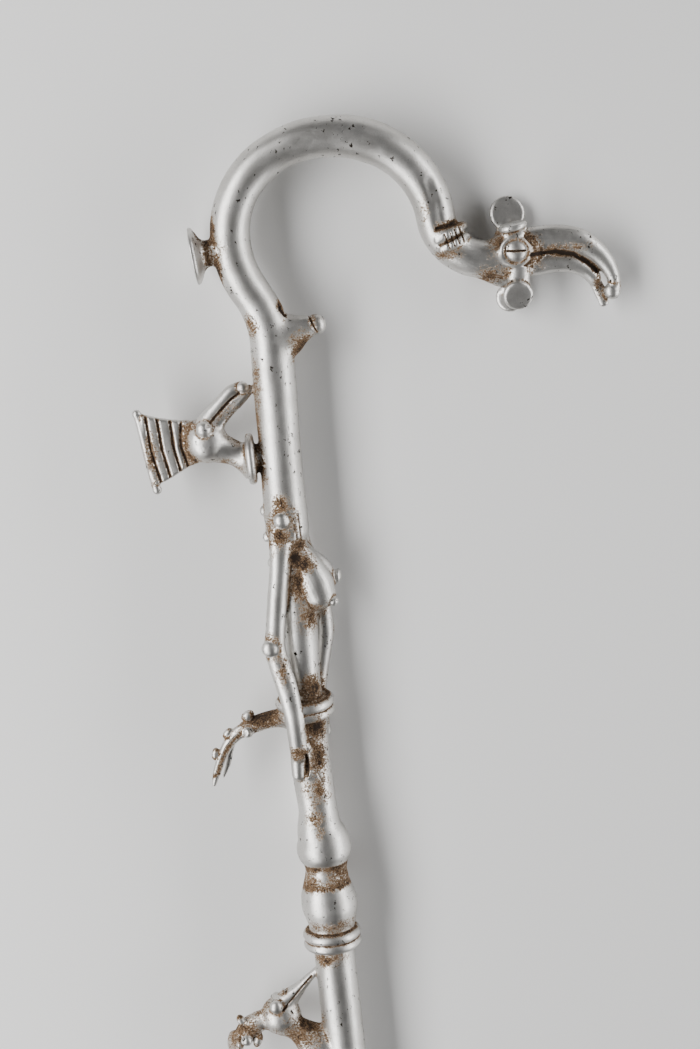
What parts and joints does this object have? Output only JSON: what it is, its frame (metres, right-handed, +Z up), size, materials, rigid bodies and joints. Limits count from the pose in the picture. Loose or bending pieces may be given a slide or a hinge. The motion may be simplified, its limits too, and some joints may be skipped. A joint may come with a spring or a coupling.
{
  "type": "ceremonial staff",
  "caption": "Cast metal ceremonial staff with a long bird-headed crook, a slender figure on its upper shaft and small birds' heads on its back, lying on its side.",
  "frame": {"origin": "centre of the staff's bounding box in plan, at the floor that it lies on", "axes": "+Y along the shaft from the foot to the crook, +Z up, +X the side that the crook bends towards"},
  "size_m": [0.2868, 1.1996, 0.0402],
  "materials": {
    "cast_silver_metal": "satin, lightly pitted, with brown deposits in the recesses"
  },
  "bodies": {
    "root": {"staff_casting": "cast_silver_metal"}
  },
  "joints": []
}
